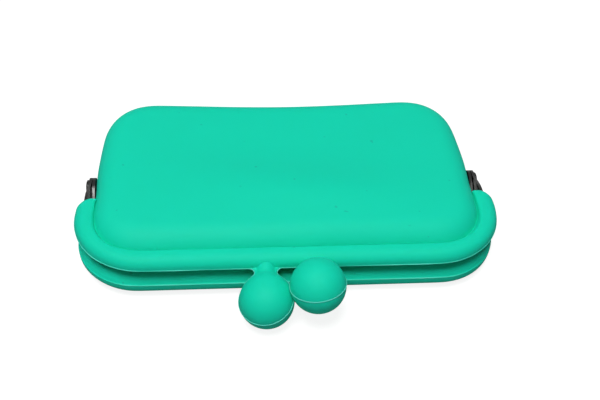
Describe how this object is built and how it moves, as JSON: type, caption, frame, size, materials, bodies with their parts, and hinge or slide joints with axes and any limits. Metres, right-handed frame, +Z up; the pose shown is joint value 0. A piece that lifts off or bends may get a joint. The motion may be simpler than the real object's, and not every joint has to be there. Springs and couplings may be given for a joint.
{
  "type": "silicone card wallet",
  "caption": "Soft silicone card wallet: a flat rounded pouch whose mouth is sleeved over a hinged steel frame and snaps shut with a kiss-lock ball clasp.",
  "frame": {"origin": "centre of the bounding box's base, on the surface that the wallet lies on", "axes": "+X along the mouth toward the right hinge, +Y from the clasp back to the closed toe, +Z up from the rear wall to the front wall"},
  "size_m": [0.12, 0.0828, 0.0206],
  "materials": {
    "silicone": "matt moulded silicone",
    "steel": "dark nickel plate"
  },
  "bodies": {
    "rear_half": {"rear_silicone_shell": "silicone", "fold_strip": "silicone", "rear_ball_cover": "silicone", "rear_steel_frame": "steel", "rear_clasp_stud": "steel", "left_hinge_rivet": "steel", "right_hinge_rivet": "steel"},
    "front_half": {"front_silicone_shell": "silicone", "front_ball_cover": "silicone", "front_steel_frame": "steel", "front_clasp_stud": "steel"}
  },
  "joints": [
    {"name": "mouth_hinge", "type": "hinge", "parent": "rear_half", "child": "front_half", "pos_m": [0, 0.00881, 0.0093], "axis": [-1, 0, 0], "range_deg": [0, 60], "deforming": ["fold_strip", "front_ball_cover"]}
  ]
}
